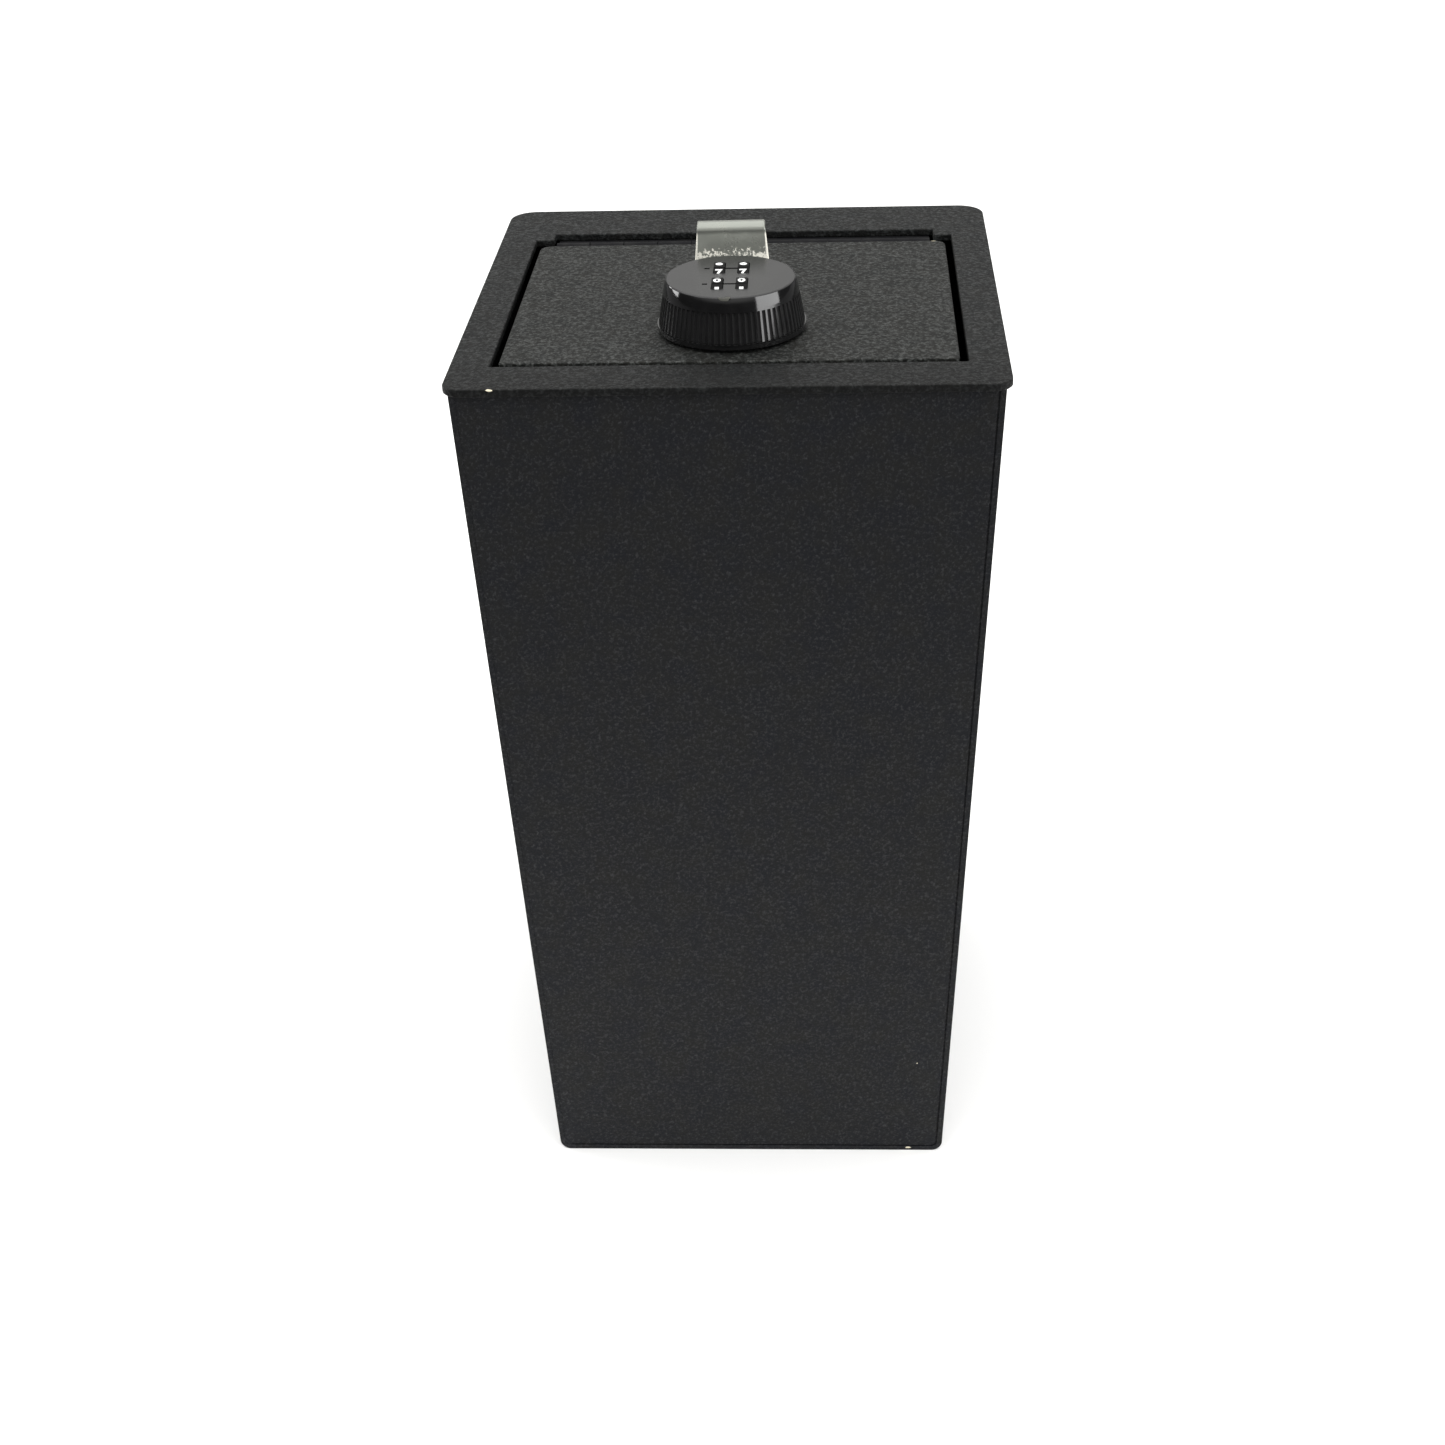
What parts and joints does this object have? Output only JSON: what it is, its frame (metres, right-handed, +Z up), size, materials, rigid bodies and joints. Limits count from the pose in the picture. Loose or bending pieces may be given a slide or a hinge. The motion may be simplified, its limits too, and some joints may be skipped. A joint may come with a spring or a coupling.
{
  "type": "cash box",
  "caption": "Tall drop-in cash box: sheet-steel case with leaning sides, flanged top plate, rear-hinged flush lid with a pull tab, and a cam lock with a number-wheel knob.",
  "frame": {"origin": "middle of the floor face, under the middle of the top flange", "axes": "+Z up, front face towards -Y, +X to the right seen from the front"},
  "size_m": [0.171, 0.176, 0.321],
  "materials": {
    "case_coat": "textured black powder coat",
    "plate_coat": "textured black powder coat",
    "hinge_coat": "textured black powder coat",
    "bright_steel": "polished",
    "hardware": "zinc plated",
    "knob_gloss": "glossy black",
    "wheel_black": "satin black"
  },
  "bodies": {
    "case": {"body_wrap": "case_coat", "front_panel": "case_coat", "rear_panel": "case_coat", "top_flange": "plate_coat", "lid_ledge": "case_coat", "hinge_leaf_case": "hinge_coat", "hinge_pin": "hinge_coat"},
    "lid": {"lid_plate": "plate_coat", "hinge_leaf_lid": "hinge_coat", "pull_tab": "bright_steel", "lock_base": "knob_gloss", "lock_washer": "hardware", "lock_nut": "hardware"},
    "knob": {"knob_shell": "knob_gloss", "dial_carrier": "wheel_black", "axle_rear": "hardware", "axle_front": "hardware", "lock_spindle": "hardware", "lock_cam": "hardware", "cam_washer": "hardware", "cam_screw": "hardware"},
    "wheel_1": {"dial_wheel_1": "wheel_black"},
    "wheel_2": {"dial_wheel_2": "wheel_black"},
    "wheel_3": {"dial_wheel_3": "wheel_black"},
    "wheel_4": {"dial_wheel_4": "wheel_black"}
  },
  "joints": [
    {"name": "lid_hinge", "type": "hinge", "parent": "case", "child": "lid", "pos_m": [0, 0.0503, 0.2936], "axis": [-1, 0, 0], "range_deg": [0, 110]},
    {"name": "knob_turn", "type": "hinge", "parent": "lid", "child": "knob", "pos_m": [0, -0.0373, 0.2988], "axis": [0, 0, -1], "range_deg": [0, 90]},
    {"name": "wheel_1_spin", "type": "hinge", "parent": "knob", "child": "wheel_1", "pos_m": [-0.0038, -0.0299, 0.3075], "axis": [1, 0, 0], "continuous": true},
    {"name": "wheel_2_spin", "type": "hinge", "parent": "knob", "child": "wheel_2", "pos_m": [0.0038, -0.0299, 0.3075], "axis": [1, 0, 0], "continuous": true},
    {"name": "wheel_3_spin", "type": "hinge", "parent": "knob", "child": "wheel_3", "pos_m": [-0.0038, -0.0447, 0.3075], "axis": [1, 0, 0], "continuous": true},
    {"name": "wheel_4_spin", "type": "hinge", "parent": "knob", "child": "wheel_4", "pos_m": [0.0038, -0.0447, 0.3075], "axis": [1, 0, 0], "continuous": true}
  ]
}
